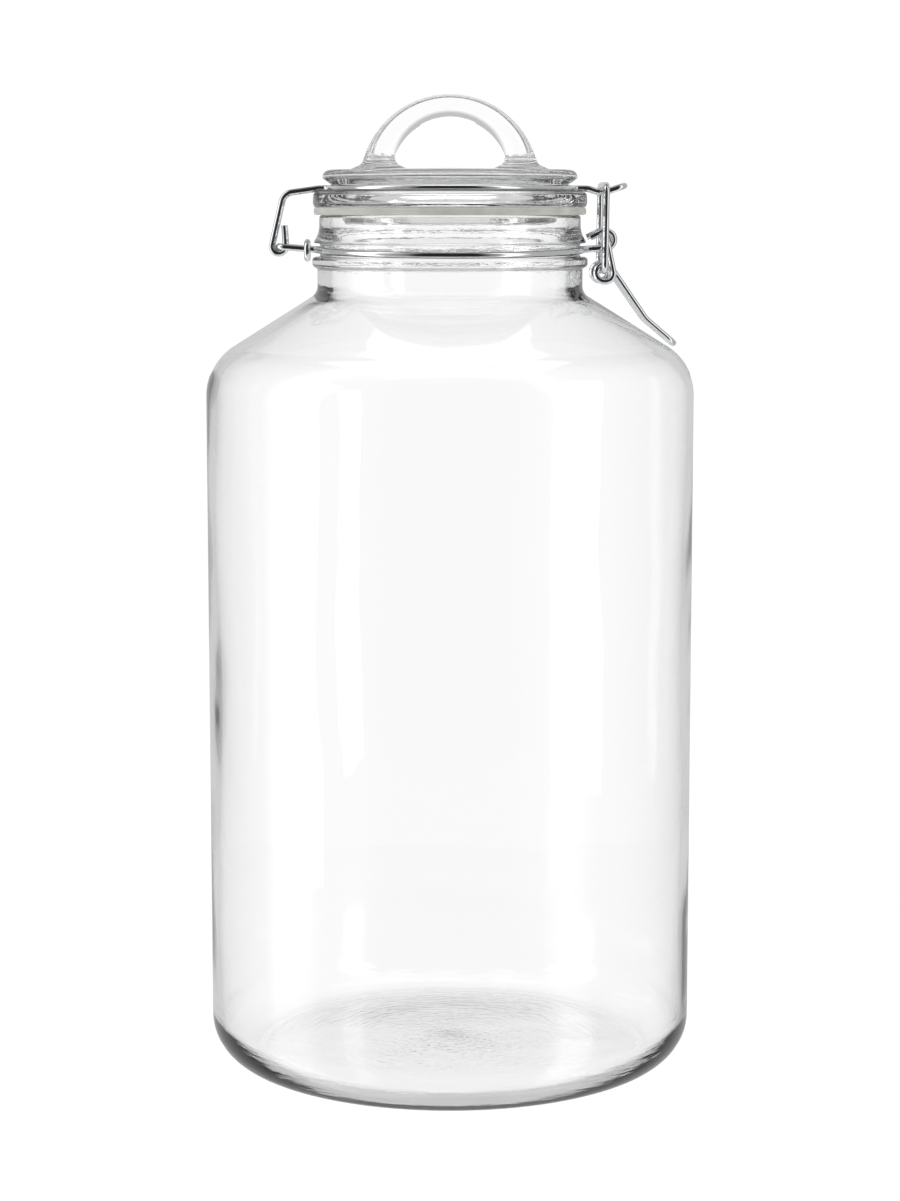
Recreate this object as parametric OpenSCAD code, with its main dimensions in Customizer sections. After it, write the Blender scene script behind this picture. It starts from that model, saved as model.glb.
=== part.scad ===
// Lidded glass canister with a wire bail closure.
// Millimetres. The origin is at the centre of the base and +Z is up. The hinge is on -X, the latch on +X.

/* [Body] */
// Outside diameter of the jar's body
body_d = 170; // [150:1:190]
// Height of the jar up to its rim
jar_h = 298.6; // [280:0.2:320]
// Thickness of the glass in the wall and the shoulder
wall = 3.2; // [2.4:0.1:4.5]
// Thickness of the glass in the floor, measured from the standing ring
floor_t = 7.5; // [5:0.5:10]
// Radius of the edge between the wall and the base
base_edge_r = 16; // [12:0.5:20]
// Distance from the wall in to the inner edge of the standing ring
foot_inset = 19; // [17:0.5:28]
// Rise of the underside inside the standing ring
push_up = 2.5; // [1:0.1:4]

/* [Shoulder] */
// Height of the slope's foot below the rim, where its line meets the wall's
shoulder_drop = 51.2; // [49:0.2:56]
// Slope of the shoulder from the horizontal, in degrees
shoulder_slope = 32; // [30:0.5:34]
// Radius of the edge between the wall and the shoulder
shoulder_r = 20; // [14:0.5:24]

/* [Neck] */
// Inside diameter of the mouth
mouth_d = 83; // [76:0.2:92]
// Thickness of the glass in the neck below its bead
neck_t = 4.6; // [3.6:0.1:5]
// How far the bead under the wire groove stands out from the neck
bead_out = 1.75; // [0.9:0.05:2.9]
// Height of the bead
bead_h = 3.8; // [3:0.1:4.4]
// Depth of the wire groove, measured from the neck's outside
groove_depth = 0.9; // [0.3:0.1:2.1]
// Height of the wire groove
groove_h = 4.7; // [4.4:0.1:5.4]
// How far the flange over the wire groove stands out from the neck
flange_out = 1.5; // [0.6:0.1:2]
// Height from the flange's underside to the rim
flange_h = 9.7; // [8.5:0.1:11]
// Height of the flange's slope, from its underside to the straight of the rim
flange_slope_h = 3.6; // [3:0.1:4.4]
// Thickness of the glass in the rim
rim_t = 3.9; // [3.2:0.1:4.6]

/* [Gasket] */
// Width of the rubber ring
gasket_w = 7.7; // [6.5:0.1:8.5]
// Thickness of the rubber ring
gasket_t = 2.6; // [2:0.1:3.4]

/* [Lid] */
// How far the lid's skirt reaches past the rubber ring
skirt_over = 0.2; // [-0.6:0.1:1.2]
// Height of the skirt
skirt_h = 5.2; // [4:0.1:7]
// Depth of the groove that holds the lid wire, measured from the skirt's edge
lid_groove_depth = 6.4; // [5.4:0.1:8.4]
// Distance from the skirt's edge in to the top plate's edge
top_inset = 3.2; // [2:0.1:4.4]
// Height of the top plate
top_h = 5.1; // [4:0.1:7]
// Rise of the top plate's underside from the groove to its edge
undercut = 2.2; // [1:0.1:2.6]
// Rise of the top plate at its middle
crown_h = 0.8; // [0:0.1:1.5]
// Depth of the plug that reaches into the mouth
plug_h = 6.2; // [4:0.2:8]
// Gap all round between the mouth and the top of the plug
plug_gap = 2.2; // [1.8:0.1:3]
// Taper of the plug, as the radius that it loses over its depth
plug_taper = 2.8; // [2:0.1:4]
// Width of the plug's ring
plug_w = 5; // [4:0.1:7]
// Thickness of glass above the hollow under the lid
lid_t = 8.6; // [6:0.2:10]

/* [Handle] */
// Outside radius of the bow
bow_r = 31.2; // [28:0.2:34]
// Radius of the finger gap under the bow
bow_gap_r = 20.5; // [18:0.5:22]
// Thickness of the bow at its top
bow_t = 8.1; // [6.5:0.1:9.5]
// Height of the handle above the lid's top plate
handle_h = 26; // [22:0.2:28]
// Height of the glass feet that the bow is joined to
foot_h = 4.5; // [3.5:0.1:5.5]
// How far a foot spreads round the bow where it meets the top plate
foot_spread = 6; // [4:0.5:7]

/* [Wire] */
// Diameter of the wire
wire_d = 2.2; // [1.8:0.1:2.4]
// Gap between a wire and what it runs round or beside
wire_gap = 0.2; // [0.1:0.05:0.3]
// Inside radius of the tightest bends
bend_in_r = 1.3; // [1.1:0.1:1.5]
// Fall of the neck wire at its front and back, in degrees
neck_wire_dip = 1.85; // [0:0.05:1.9]

/* [Hinge] */
// Distance from the neck wire to the hinge axis
hinge_reach = 12.8; // [12:0.2:16]
// Height of the hinge axis above the middle of the neck wire
hinge_rise = 0.9; // [0:0.1:1.6]
// Half the distance between the two legs of the hinge loop
loop_y = 8; // [7.6:0.1:10]
// Half the distance between the two hooks of the lid wire
hook_y = 5; // [4.4:0.1:5.4]
// Height of the keeper ring
keeper_h = 7.7; // [7:0.1:10]
// Distance from the hinge axis to the keeper ring
keeper_x = 9.8; // [7.8:0.1:10]
// Height of the lid wire's cut ends above the hinge axis
stub_h = 7.2; // [6:0.2:8]

/* [Latch] */
// Distance from the neck wire to the lever's pivot
latch_reach = 7.1; // [6.8:0.1:9]
// Height of the pivot above the middle of the neck wire
latch_rise = 4; // [3.6:0.1:4.6]
// Half the distance between the two eyes
eye_y = 7; // [6.6:0.1:9]
// Inside radius of the eyes and of the lever's loops
eye_in_r = 1.85; // [1.7:0.05:2.1]
// Distance from the pivot down to the loops
arm_l = 12.1; // [11.6:0.1:13]
// Reach of the lever from its pivot to its tip
lever_reach = 24.5; // [21:0.1:26]
// Gap between the closed lever's tip and the shoulder
lever_gap = 1; // [0.6:0.1:2]
// Half the width of the lever's tip
tip_y = 4.2; // [4:0.1:5]
// Half the width of the lid wire's tab
tab_y = 3.2; // [3.1:0.1:4]
// How far the tab dips under the bail's bar
tab_dip = 1.6; // [1:0.1:2]
// How far the tab's tip rises over the lid wire
tab_rise = 1; // [0.4:0.1:1.4]
// Reach of the tab past the lever's pivot
tab_reach = 7; // [5:0.5:8]

/* [Hidden] */
$fn = 48;
arc_step = 6;

// Jar
body_r = body_d / 2;
foot_r = body_r - foot_inset;
mouth_r = mouth_d / 2;
neck_r = mouth_r + neck_t;
bead_r = neck_r + bead_out;
groove_r = neck_r - groove_depth;
flange_r = neck_r + flange_out;
rim_r = mouth_r + rim_t;
flange_z = jar_h - flange_h;
groove_z = flange_z - groove_h;
bead_z = groove_z - bead_h;
shoulder_z = jar_h - shoulder_drop;
function shoulder_at(r) = shoulder_z + (body_r - r) * tan(shoulder_slope);
function shoulder_inside_at(r) = shoulder_at(r) - wall / cos(shoulder_slope);

// Lid, from its seat on the gasket upwards
seat_z = jar_h + gasket_t;
skirt_z = seat_z + skirt_h;
lid_groove_h = wire_d + 1.5 * wire_gap;
plate_z = skirt_z + lid_groove_h;
top_z = plate_z + top_h;
plug_r = mouth_r - plug_gap;
gasket_in_r = plug_r + wire_gap;
gasket_r = gasket_in_r + gasket_w;
skirt_r = gasket_r + skirt_over;
lid_groove_r = skirt_r - lid_groove_depth;
top_r = skirt_r - top_inset;

// Handle
handle_top = top_z + handle_h;
seam_z = top_z + foot_h;
bow_z = handle_top - bow_r;
bow_gap_z = handle_top - bow_t - bow_gap_r;
bow_out_x = sqrt(bow_r ^ 2 - (seam_z - bow_z) ^ 2);
bow_in_x = sqrt(bow_gap_r ^ 2 - (seam_z - bow_gap_z) ^ 2);
bow_foot_r = (bow_out_x - bow_in_x) / 2;
bow_foot_x = bow_in_x + bow_foot_r;

// Wires
wire_r = wire_d / 2;
tight_r = bend_in_r + wire_r;
beside = wire_d + wire_gap;
neck_wire_r = groove_r + wire_gap + wire_r;
neck_wire_z = groove_z + wire_gap / 2 + wire_r + neck_wire_r * sin(neck_wire_dip);
lid_wire_r = lid_groove_r + wire_gap + wire_r;
lid_wire_z = skirt_z + lid_groove_h / 2;
hinge_x = -neck_wire_r - hinge_reach;
hinge_z = neck_wire_z + hinge_rise;
eye_r = eye_in_r + wire_r;
eye_x = neck_wire_r + latch_reach;
eye_z = neck_wire_z + latch_rise - (eye_in_r - wire_r);
pivot_z = neck_wire_z + latch_rise - wire_gap / 2;
lever_y = eye_y + beside + wire_gap / 2;
arm_y = eye_y - wire_gap / 2;
loop_x = eye_x - 0.4;
loop_z = pivot_z - arm_l;
link_x = loop_x - 0.2;
link_z = loop_z + (eye_in_r - wire_r) - wire_gap / 2;
link_y = lever_y + beside;
tab_bend_r = 7;
tab_near_x = skirt_r + 0.5;
tab_low_x = eye_x - 1;
tab_x = eye_x + tab_reach;
tab_slope = (atan(tab_dip / (tab_low_x - tab_near_x)) + atan((tab_dip + tab_rise) / (tab_x - tab_low_x))) / 2;
bar_z = lid_wire_z - tab_dip + tab_bend_r * (1 / cos(tab_slope) - 1) + wire_d + 0.75 * wire_gap;

// ---- Outlines -------------------------------------------------------------------------------

function unit(v) = v / norm(v);
function flat(p) = [p[0], p[1]];

// Points along the round of corner b between its neighbours a and c; b[2] is the radius
function round_corner(a, b, c) =
    let (
        u = unit(flat(a) - flat(b)),
        v = unit(flat(c) - flat(b)),
        turn = 180 - acos(u * v),
        middle = flat(b) + unit(u + v) * b[2] / cos(turn / 2),
        start = flat(b) + u * b[2] * tan(turn / 2) - middle,
        side = sign(v[0] * u[1] - v[1] * u[0]),
        steps = max(2, ceil(turn / arc_step))
    )
    b[2] == 0 ? [flat(b)] : [
        for (i = [0:steps])
            let (a = side * turn * i / steps)
                middle + [start[0] * cos(a) - start[1] * sin(a), start[0] * sin(a) + start[1] * cos(a)]
    ];

// Closed outline through corners [x, z, radius]
function outline(corners) =
    let (n = len(corners))
    [for (i = [0:n - 1]) each round_corner(corners[(i + n - 1) % n], corners[i], corners[(i + 1) % n])];

module revolve(corners) {
    rotate_extrude($fn = 144)
        polygon(outline(corners));
}

// ---- Wire forming ---------------------------------------------------------------------------
// A wire is a list of corners [x, y, z, radius]: straight runs that are bent round each corner.

joint_bead = 1.04;
trim = 0.15;

function at(p) = [p[0], p[1], p[2]];
function heading(a, b) = unit(at(b) - at(a));
function turn_angle(a, b, c) = acos(min(1, heading(a, b) * heading(b, c)));
function setback(a, b, c) = b[3] * tan(turn_angle(a, b, c) / 2);
function before(path, i) = path[(i + len(path) - 1) % len(path)];
function after(path, i) = path[(i + 1) % len(path)];
function straight_left(path, i) = path[i][3] == 0 ? 0 : setback(before(path, i), path[i], after(path, i));
function leave(path, i) = at(path[i]) + straight_left(path, i) * heading(path[i], after(path, i));
function arrive(path, i) = at(path[i]) - straight_left(path, i) * heading(before(path, i), path[i]);

module straight_run(from, to) {
    d = to - from;
    translate(from)
        rotate([0, acos(d[2] / norm(d)), atan2(d[1], d[0])])
            translate([0, 0, trim])
                cylinder(h = norm(d) - 2 * trim, r = wire_r);
}

module bend(a, b, c) {
    turn = turn_angle(a, b, c);
    ahead = heading(a, b);
    start = at(b) - setback(a, b, c) * ahead;
    middle = at(b) + unit(heading(b, c) - ahead) * b[3] / cos(turn / 2);
    out = (start - middle) / b[3];
    up = cross(out, ahead);
    ease = trim / b[3] * 180 / PI;
    multmatrix([for (k = [0:2]) [out[k], ahead[k], up[k], middle[k]]])
        rotate([0, 0, ease])
            rotate_extrude(angle = turn - 2 * ease)
                translate([b[3], 0])
                    circle(wire_r);
}

// The runs and bends stop a little short of each other, and a bead hardly wider than the wire joins them.
// A shallow turn has radius 0 and is a bead alone.
module wire(path, closed = false) {
    n = len(path);
    for (i = [0:n - (closed ? 1 : 2)]) {
        from = leave(path, i);
        to = arrive(path, (i + 1) % n);
        if (norm(to - from) > 3 * trim) {
            straight_run(from, to);
            if (closed || i > 0) translate(from) sphere(wire_r * joint_bead);
            if (after(path, i)[3] > 0) translate(to) sphere(wire_r * joint_bead);
        } else {
            translate((from + to) / 2) sphere(wire_r * joint_bead);
        }
    }
    for (i = [0:n - 1])
        if (path[i][3] > 0) bend(before(path, i), path[i], after(path, i));
}

// The same wire as one skin, for paths with many bends: a ring of points at each end, every few degrees round
// each bend and at each shallow turn
function bend_points(a, b, c, turn) =
    let (
        ahead = heading(a, b),
        middle = at(b) + unit(heading(b, c) - ahead) * b[3] / cos(turn / 2),
        out = unit(at(b) - setback(a, b, c) * ahead - middle),
        steps = ceil(turn / (b[3] > 10 ? 9 : 18))
    )
    [
        for (k = [0:steps])
            let (t = turn * k / steps)
                [middle + b[3] * (cos(t) * out + sin(t) * ahead), cos(t) * ahead - sin(t) * out]
    ];

function stations(path) =
    let (last = len(path) - 1)
    [
        for (i = [0:last])
            if (i == 0)
                [at(path[0]), heading(path[0], path[1])]
            else if (i == last)
                [at(path[last]), heading(path[last - 1], path[last])]
            else if (path[i][3] == 0)
                [at(path[i]), unit(heading(path[i - 1], path[i]) + heading(path[i], path[i + 1]))]
            else
                each bend_points(
                    path[i - 1], path[i], path[i + 1], turn_angle(path[i - 1], path[i], path[i + 1])
                )
    ];

module skinned_wire(path) {
    sides = 14;
    stops = stations(path);
    last = len(stops) - 1;
    start = unit(cross(stops[0][1], abs(stops[0][1][0]) < 0.9 ? [1, 0, 0] : [0, 1, 0]));
    function square_to(u, ahead) = unit(u - (u * ahead) * ahead);
    across = [
        for (i = 0, u = start; i <= last; i = i + 1, u = square_to(u, stops[min(i, last)][1]))
            u
    ];
    points = [
        for (i = [0:last])
            let (u = across[i], v = cross(u, stops[i][1]))
                for (k = [0:sides - 1])
                    stops[i][0] + wire_r * (cos(360 * k / sides) * u + sin(360 * k / sides) * v)
    ];
    skin = [
        for (i = [0:last - 1])
            for (k = [0:sides - 1])
                let (a = i * sides + k, b = i * sides + (k + 1) % sides)
                    each [[a, b, b + sides], [a, b + sides, a + sides]]
    ];
    ends = [[for (k = [sides - 1:-1:0]) k], [for (k = [0:sides - 1]) last * sides + k]];
    polyhedron(points, concat(skin, ends));
}

// Truly round length of a skinned wire, where it is a joint's pin
module pin(x, z, y0, y1) {
    translate([x, y1, z])
        rotate([90, 0, 0])
            cylinder(h = y1 - y0, r = wire_r + 0.02);
}

// Corners that take a wire round an arc. A short straight is left at each end of every bend, so that no
// two bends cross.
snug = 0.1;

function snug_r(r, step) = r - snug / tan(abs(step) / 2);

// Arc round [x, z] from angle a0 to a1, moving sideways from y0 to y1
function arc_xz(x, z, r, a0, a1, y0, y1) =
    let (n = ceil(abs(a1 - a0) / 56), step = (a1 - a0) / n, reach = r / cos(step / 2))
    [
        for (i = [0:n - 1])
            let (a = a0 + (i + 0.5) * step)
                [x + reach * cos(a), y0 + (y1 - y0) * (i + 0.5) / n, z + reach * sin(a), snug_r(r, step)]
    ];

// Front half of a ring round the jar's axis from angle a0 to a1, falling by dip degrees towards its front
function arc_xy(r, z, a0, a1, dip) =
    let (n = 4, step = (a1 - a0) / n, reach = r / cos(step / 2))
    [
        for (i = [0:n - 1])
            let (a = a0 + (i + 0.5) * step, y = reach * sin(a))
                [reach * cos(a), y * cos(dip), z + y * sin(dip), snug_r(r, step)]
    ];

// Where a ring of radius r turns out into a leg at distance y from the middle: the ring's angle there,
// and the corner's x
function leg_angle(r, y) = asin((y + tight_r + snug) / (r + tight_r));
function leg_x(r, y) = (r - y * sin(leg_angle(r, y))) / cos(leg_angle(r, y));

// The whole of a wire whose front half is given, from one end to the middle
function both_halves(half) =
    concat(half, [for (i = [len(half) - 1:-1:0]) [half[i][0], -half[i][1], half[i][2], half[i][3]]]);

// ---- Glass ----------------------------------------------------------------------------------

// Blown jar: round base with a standing ring, straight wall, sloping shoulder, and a neck with a bead,
// a wire groove and a flange
module jar() {
    inside_r = body_r - wall;
    rim_edge = 1.2;
    color("lightcyan")
        revolve([
            [0, push_up, 0],
            [foot_r - 5 * push_up, push_up, 10],
            [foot_r, 0, 4],
            [body_r, 0, base_edge_r],
            [body_r, shoulder_z, shoulder_r],
            [neck_r, shoulder_at(neck_r), 4.5],
            [neck_r, bead_z, 0.6],
            [bead_r, bead_z, 1.6],
            [bead_r, groove_z, 1.2],
            [groove_r, groove_z, 0.6],
            [groove_r, flange_z, 0.6],
            [flange_r, flange_z, 0.5],
            [rim_r, flange_z + flange_slope_h, 9],
            [rim_r, jar_h, rim_edge],
            [mouth_r, jar_h, rim_edge],
            [mouth_r, shoulder_inside_at(mouth_r), 6],
            [inside_r, shoulder_inside_at(inside_r), shoulder_r - wall],
            [inside_r, floor_t, base_edge_r - wall],
            [0, floor_t, 0]
        ]);
}

// Pressed lid: plug, skirt, groove for the lid wire, top plate, and two feet for the handle
module lid() {
    hollow_z = top_z - lid_t;
    plug_z = seat_z - plug_h;
    plug_end_r = plug_r - plug_taper;
    skirt_lip_z = seat_z + 1.4;
    foot_neck_z = seam_z - 2.3;
    draft = 0.2;
    sunk = 0.2;
    color("lightcyan") {
        revolve([
            [0, hollow_z, 0],
            [plug_end_r - plug_w - 2, hollow_z, 5],
            [plug_end_r - plug_w, plug_z, 1.5],
            [plug_end_r, plug_z, 1.8],
            [plug_r, seat_z, 0.6],
            [skirt_r - 2 * draft, seat_z, 0.6],
            [skirt_r + draft, skirt_lip_z, 1.2],
            [skirt_r, skirt_z, 1.2],
            [lid_groove_r, skirt_z, 0.6],
            [lid_groove_r, plate_z, 0.6],
            [top_r, plate_z + undercut, 1.4],
            [top_r, top_z, 2.6],
            [0, top_z + crown_h, 0]
        ]);
        for (side = [-1, 1])
            translate([side * bow_foot_x, 0, 0])
                revolve([
                    [0, plate_z + 1, 0],
                    [bow_foot_r + foot_spread, plate_z + 1, 0],
                    [bow_foot_r + foot_spread, top_z - sunk, 0],
                    [bow_foot_r + 3 * draft, foot_neck_z, 3],
                    [bow_foot_r + draft, seam_z, 0],
                    [0, seam_z, 0]
                ]);
    }
}

// Drawn glass bow, round in section and thicker towards its feet, cut off level where it is joined to the lid
module lid_handle() {
    rings = 36;
    sides = 28;
    low = 8;
    hub_z = (bow_z + bow_gap_z) / 2;
    function ray(a, z, r) = (z - hub_z) * sin(a) + sqrt(r ^ 2 - ((z - hub_z) * cos(a)) ^ 2);
    points = [
        for (i = [0:rings])
            let (
                a = low + (180 - 2 * low) * i / rings,
                outer = ray(a, bow_z, bow_r),
                inner = ray(a, bow_gap_z, bow_gap_r)
            )
            for (k = [0:sides - 1])
                let (t = 360 * k / sides, d = (outer + inner) / 2 + (outer - inner) / 2 * cos(t))
                    [d * cos(a), (outer - inner) / 2 * sin(t), hub_z + d * sin(a)]
    ];
    skin = [
        for (i = [0:rings - 1])
            for (k = [0:sides - 1])
                let (a = i * sides + k, b = i * sides + (k + 1) % sides)
                    each [[a, b, b + sides], [a, b + sides, a + sides]]
    ];
    ends = [[for (k = [sides - 1:-1:0]) k], [for (k = [0:sides - 1]) rings * sides + k]];
    color("azure")
        intersection() {
            polyhedron(points, concat(skin, ends));
            translate([-2 * bow_r, -bow_r, seam_z])
                cube([4 * bow_r, 2 * bow_r, 2 * handle_h]);
        }
}

// Flat rubber ring between the rim and the lid
module gasket() {
    color("gainsboro")
        revolve([
            [gasket_in_r, jar_h, 0.6],
            [gasket_r, jar_h, 0.8],
            [gasket_r, seat_z, 0.8],
            [gasket_in_r, seat_z, 0.6]
        ]);
}

// ---- Wires ----------------------------------------------------------------------------------

// Neck wire: it lies in the neck's groove, makes the hinge loop on one side and ends in two eyes on the other
module neck_ring() {
    eye_turn_z = neck_wire_z - eye_y * sin(neck_wire_dip);
    eye_end = [-eye_r - 2.4, 0.7];
    half = concat(
        [[eye_x + eye_end[0], -eye_y, eye_z + eye_end[1], 0]],
        arc_xz(eye_x, eye_z, eye_r, 115, -85, -eye_y, -eye_y),
        [[leg_x(neck_wire_r, eye_y), -eye_y, eye_turn_z, tight_r]],
        arc_xy(
            neck_wire_r, neck_wire_z,
            -leg_angle(neck_wire_r, eye_y), leg_angle(neck_wire_r, loop_y) - 180, neck_wire_dip
        ),
        [
            [-leg_x(neck_wire_r, loop_y), -loop_y, neck_wire_z - loop_y * sin(neck_wire_dip), tight_r],
            [hinge_x, -loop_y, hinge_z, tight_r]
        ]
    );
    color("silver") {
        skinned_wire(both_halves(half));
        pin(hinge_x, hinge_z, tight_r - loop_y + 0.3, loop_y - tight_r - 0.3);
    }
}

// Closed ring that hangs on the two legs of the hinge loop and keeps them together
module hinge_keeper() {
    leg_end_x = -leg_x(neck_wire_r, loop_y);
    leg_end_z = neck_wire_z - loop_y * sin(neck_wire_dip);
    x = hinge_x + keeper_x;
    leg_z = hinge_z + (leg_end_z - hinge_z) * keeper_x / (leg_end_x - hinge_x);
    top = leg_z + wire_d + wire_gap / 2;
    bottom = top - keeper_h + wire_d;
    y = loop_y + beside;
    end_r = (top - bottom) / 2 - snug;
    color("silver")
        wire([
            [x, -y, top, end_r], [x, y, top, end_r],
            [x, y, bottom, end_r], [x, -y, bottom, end_r]
        ], closed = true);
}

// Lid wire: it lies in the lid's groove, hooks under the hinge loop and ends in a tab over the latch
module lid_ring() {
    hook_r = beside - wire_gap / 4;
    stub_x = hinge_x + hook_r - 0.4;
    elbow = [hinge_x + 1.8, lid_wire_z - 1.7];
    half = concat(
        [[stub_x, -hook_y, hinge_z + stub_h, 0]],
        arc_xz(hinge_x, hinge_z, hook_r, 5.6, -194.3, -hook_y, -hook_y),
        [
            [elbow[0], -hook_y, elbow[1], 4],
            [2 - skirt_r, -hook_y, lid_wire_z, 0],
            [-leg_x(lid_wire_r, hook_y), -hook_y, lid_wire_z, tight_r]
        ],
        arc_xy(
            lid_wire_r, lid_wire_z,
            leg_angle(lid_wire_r, hook_y) - 180, -leg_angle(lid_wire_r, tab_y), 0
        ),
        [
            [leg_x(lid_wire_r, tab_y), -tab_y, lid_wire_z, tight_r],
            [tab_near_x, -tab_y, lid_wire_z, 0],
            [tab_low_x, -tab_y, lid_wire_z - tab_dip, tab_bend_r],
            [tab_x, -tab_y, lid_wire_z + tab_rise, tab_y - snug]
        ]
    );
    color("silver")
        skinned_wire(both_halves(half));
}

// Lever: its ends turn in the eyes, a loop on each arm carries the link, and the arms close to a narrow tip
module lever() {
    tip_x = eye_x + lever_reach;
    tip_z = shoulder_at(tip_x) + (wire_r + lever_gap) / cos(shoulder_slope);
    knee_x = eye_x + 0.585 * lever_reach;
    knee_z = tip_z + 0.35 * lever_reach;
    half = concat(
        [
            [eye_x, tight_r - lever_y + 1.2, pivot_z, 0],
            [eye_x, -lever_y, pivot_z, tight_r]
        ],
        arc_xz(loop_x, loop_z, eye_r, 12.2, -326.3, -lever_y, -arm_y),
        [
            [knee_x, -(arm_y + tip_y) / 2, knee_z, 8],
            [tip_x, -tip_y, tip_z, 3.5]
        ]
    );
    color("silver") {
        skinned_wire(both_halves(half));
        pin(eye_x, pivot_z, tight_r - lever_y + 0.3, wire_d - eye_y);
        pin(eye_x, pivot_z, eye_y - wire_d, lever_y - tight_r - 0.3);
    }
}

// Bail link: its ends turn in the lever's loops and its bar pulls down on the lid wire's tab
module bail_link() {
    half = [
        [link_x, -(arm_y - wire_d), link_z, 0],
        [link_x, -link_y, link_z, tight_r],
        [eye_x - 0.2, -link_y, bar_z, 2.8]
    ];
    color("silver")
        wire(both_halves(half));
}

jar();
neck_ring();
hinge_keeper();
lid();
lid_handle();
gasket();
lid_ring();
lever();
bail_link();
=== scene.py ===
import math
import bpy
import bmesh
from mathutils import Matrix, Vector


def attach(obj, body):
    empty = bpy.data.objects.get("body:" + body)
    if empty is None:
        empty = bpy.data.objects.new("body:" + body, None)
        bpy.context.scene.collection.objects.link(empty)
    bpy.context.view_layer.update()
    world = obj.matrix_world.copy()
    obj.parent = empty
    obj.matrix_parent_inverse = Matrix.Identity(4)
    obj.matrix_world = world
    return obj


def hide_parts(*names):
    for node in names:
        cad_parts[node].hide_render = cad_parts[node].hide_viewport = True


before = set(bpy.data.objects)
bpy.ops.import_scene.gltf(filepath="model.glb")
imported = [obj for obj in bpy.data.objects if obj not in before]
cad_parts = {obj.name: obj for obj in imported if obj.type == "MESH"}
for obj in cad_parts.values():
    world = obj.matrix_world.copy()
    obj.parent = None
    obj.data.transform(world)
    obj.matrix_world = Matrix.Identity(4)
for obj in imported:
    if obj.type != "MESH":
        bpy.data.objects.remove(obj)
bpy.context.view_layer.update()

# ---- Table, light and camera --------------------------------------------------------------------
# A white table and backdrop under one large soft lamp, with a smaller lamp on either side. What shines
# mirrors a darker room with two bright strips in it. The camera looks down a little, from the lid's height.
TABLE_HALF = 0.34
PAPER_TONE = 0.25
TABLE_GLOW = 0.77
TABLE_GLOW_MIRRORED = 0.42
BACKDROP_STRENGTH = 1.05
OVERHEAD_TONE = 0.5
ROOM_STRENGTH = 2.1
CEILING_TONE = 0.10
FLOOR_TONE = 0.45
GLASS_TONE = 0.33
GLASS_CEILING_TONE = 0.46
CAMERA_DISTANCE = 1.019
CAMERA_HEIGHT = 0.301
CAMERA_TURN = math.radians(2.4)
CAMERA_TILT = math.radians(7.68)
CAMERA_LENS = 87.26


def add_node(tree, kind, inputs=None, **settings):
    """A shader node in a tree, with its settings and the values of its unlinked inputs."""
    node = tree.nodes.new("ShaderNode" + kind)
    for name, value in settings.items():
        setattr(node, name, value)
    for socket, value in (inputs or {}).items():
        node.inputs[socket].default_value = value
    return node


def new_material(name, inputs):
    """A material whose skin has these values, with its node tree and its skin."""
    material = bpy.data.materials.new(name)
    material.use_nodes = True
    skin = material.node_tree.nodes["Principled BSDF"]
    for socket, value in inputs.items():
        skin.inputs[socket].default_value = value
    return material, material.node_tree, skin


def grey(tone):
    return (tone, tone, tone, 1)


def ramp_through(tree, stops, interpolation="LINEAR"):
    """A colour ramp through (place, colour)."""
    ramp = add_node(tree, "ValToRGB")
    ramp.color_ramp.interpolation = interpolation
    while len(ramp.color_ramp.elements) < len(stops):
        ramp.color_ramp.elements.new(1.0)
    for element, (place, colour) in zip(ramp.color_ramp.elements, stops):
        element.position = place
        element.color = colour
    return ramp


table_mesh = bpy.data.meshes.new("table")
table_mesh.from_pydata(
    [(-TABLE_HALF, -TABLE_HALF, 0), (TABLE_HALF, -TABLE_HALF, 0), (TABLE_HALF, TABLE_HALF, 0),
     (-TABLE_HALF, TABLE_HALF, 0)], [], [(0, 1, 2, 3)])
table = bpy.data.objects.new("table", table_mesh)
bpy.context.collection.objects.link(table)
table_paper, paper_tree, paper = new_material("table_paper", {
    "Base Color": grey(PAPER_TONE), "Roughness": 0.9, "Emission Color": grey(1.0)})
table_ray = add_node(paper_tree, "LightPath")
table_glow = add_node(paper_tree, "MapRange", {"To Min": TABLE_GLOW, "To Max": TABLE_GLOW_MIRRORED})
paper_tree.links.new(table_ray.outputs["Glossy Depth"], table_glow.inputs["Value"])
paper_tree.links.new(table_glow.outputs["Result"], paper.inputs["Emission Strength"])
table_mesh.materials.append(table_paper)
table.visible_glossy = False

studio = bpy.data.worlds.new("studio")
studio.use_nodes = True
bpy.context.scene.world = studio
studio_tree = studio.node_tree
studio_tree.nodes.clear()


def by_height(stops):
    """A grey that changes with how steeply a ray goes down, at 0, or up, at 1."""
    ramp = ramp_through(studio_tree, [(place, grey(tone)) for place, tone in stops], "EASE")
    studio_tree.links.new(steepness.outputs["Result"], ramp.inputs["Fac"])
    return ramp.outputs["Color"]


def mixed(factor, one, two):
    """The first colour, and the second as far as the factor says."""
    mix = add_node(studio_tree, "Mix", data_type="RGBA")
    studio_tree.links.new(factor, mix.inputs["Factor"])
    studio_tree.links.new(one, mix.inputs["A"])
    studio_tree.links.new(two, mix.inputs["B"])
    return mix.outputs["Result"]


def at_most(count, limit):
    """A count of bounces, no larger than this."""
    cap = add_node(studio_tree, "Math", {1: limit}, operation="MINIMUM")
    studio_tree.links.new(count, cap.inputs[0])
    return cap.outputs[0]


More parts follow.
